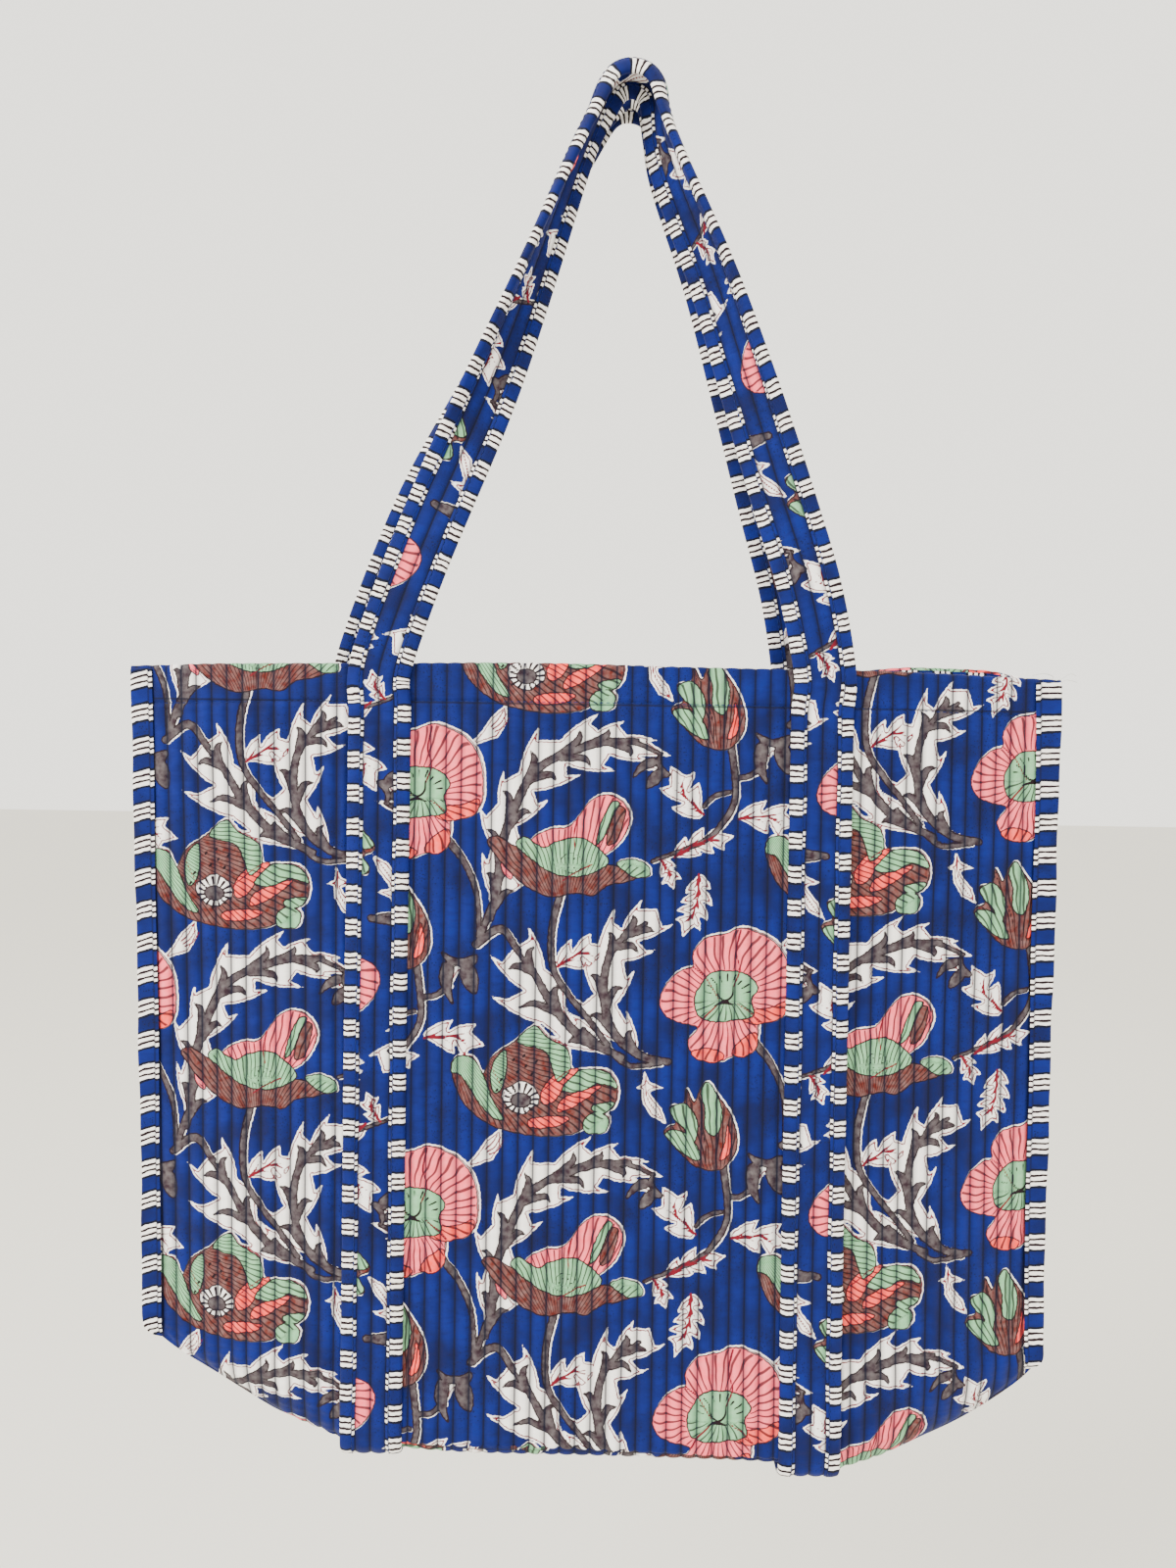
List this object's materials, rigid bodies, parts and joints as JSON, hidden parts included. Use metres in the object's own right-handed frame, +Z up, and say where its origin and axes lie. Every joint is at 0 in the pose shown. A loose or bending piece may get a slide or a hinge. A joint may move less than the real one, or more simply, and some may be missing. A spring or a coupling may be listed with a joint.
{
  "type": "knitting bag",
  "caption": "Quilted cotton tote for knitting work with a boxed base, bound seams and two long shoulder straps that swing at the mouth.",
  "frame": {"origin": "the point where the two handles rest on a hook, under their apex and between them", "axes": "+Z up, +X along the mouth to the right as seen from the front, -Y out of the front panel"},
  "size_m": [0.4568, 0.0619, 0.682],
  "materials": {
    "printed_cotton": "quilted block-printed cotton, blue ground",
    "cotton_lining": "plain woven cotton, matt",
    "cotton_wadding": "felted cotton wadding",
    "striped_tape": "striped cotton bias tape"
  },
  "bodies": {
    "bag": {"front_cover": "printed_cotton", "front_wadding": "cotton_wadding", "front_lining": "cotton_lining", "back_cover": "printed_cotton", "back_wadding": "cotton_wadding", "back_lining": "cotton_lining", "base_cover": "printed_cotton", "base_wadding": "cotton_wadding", "base_lining": "cotton_lining", "front_hem_facing": "striped_tape", "back_hem_facing": "striped_tape", "left_side_binding": "striped_tape", "right_side_binding": "striped_tape", "front_left_strap": "printed_cotton", "front_left_outer_binding": "striped_tape", "front_left_inner_binding": "striped_tape", "front_right_strap": "printed_cotton", "front_right_outer_binding": "striped_tape", "front_right_inner_binding": "striped_tape", "back_left_strap": "printed_cotton", "back_left_outer_binding": "striped_tape", "back_left_inner_binding": "striped_tape", "back_right_strap": "printed_cotton", "back_right_outer_binding": "striped_tape", "back_right_inner_binding": "striped_tape"},
    "front_handle": {"front_handle_strap": "printed_cotton", "front_handle_outer_binding": "striped_tape", "front_handle_inner_binding": "striped_tape"},
    "back_handle": {"back_handle_strap": "printed_cotton", "back_handle_outer_binding": "striped_tape", "back_handle_inner_binding": "striped_tape"}
  },
  "joints": [
    {"name": "front_handle_swing", "type": "hinge", "parent": "bag", "child": "front_handle", "pos_m": [0, -0.01807, -0.29615], "axis": [1, 0, 0], "range_deg": [0, 165]},
    {"name": "back_handle_swing", "type": "hinge", "parent": "bag", "child": "back_handle", "pos_m": [0, 0.01807, -0.29615], "axis": [-1, 0, 0], "range_deg": [0, 165]}
  ]
}
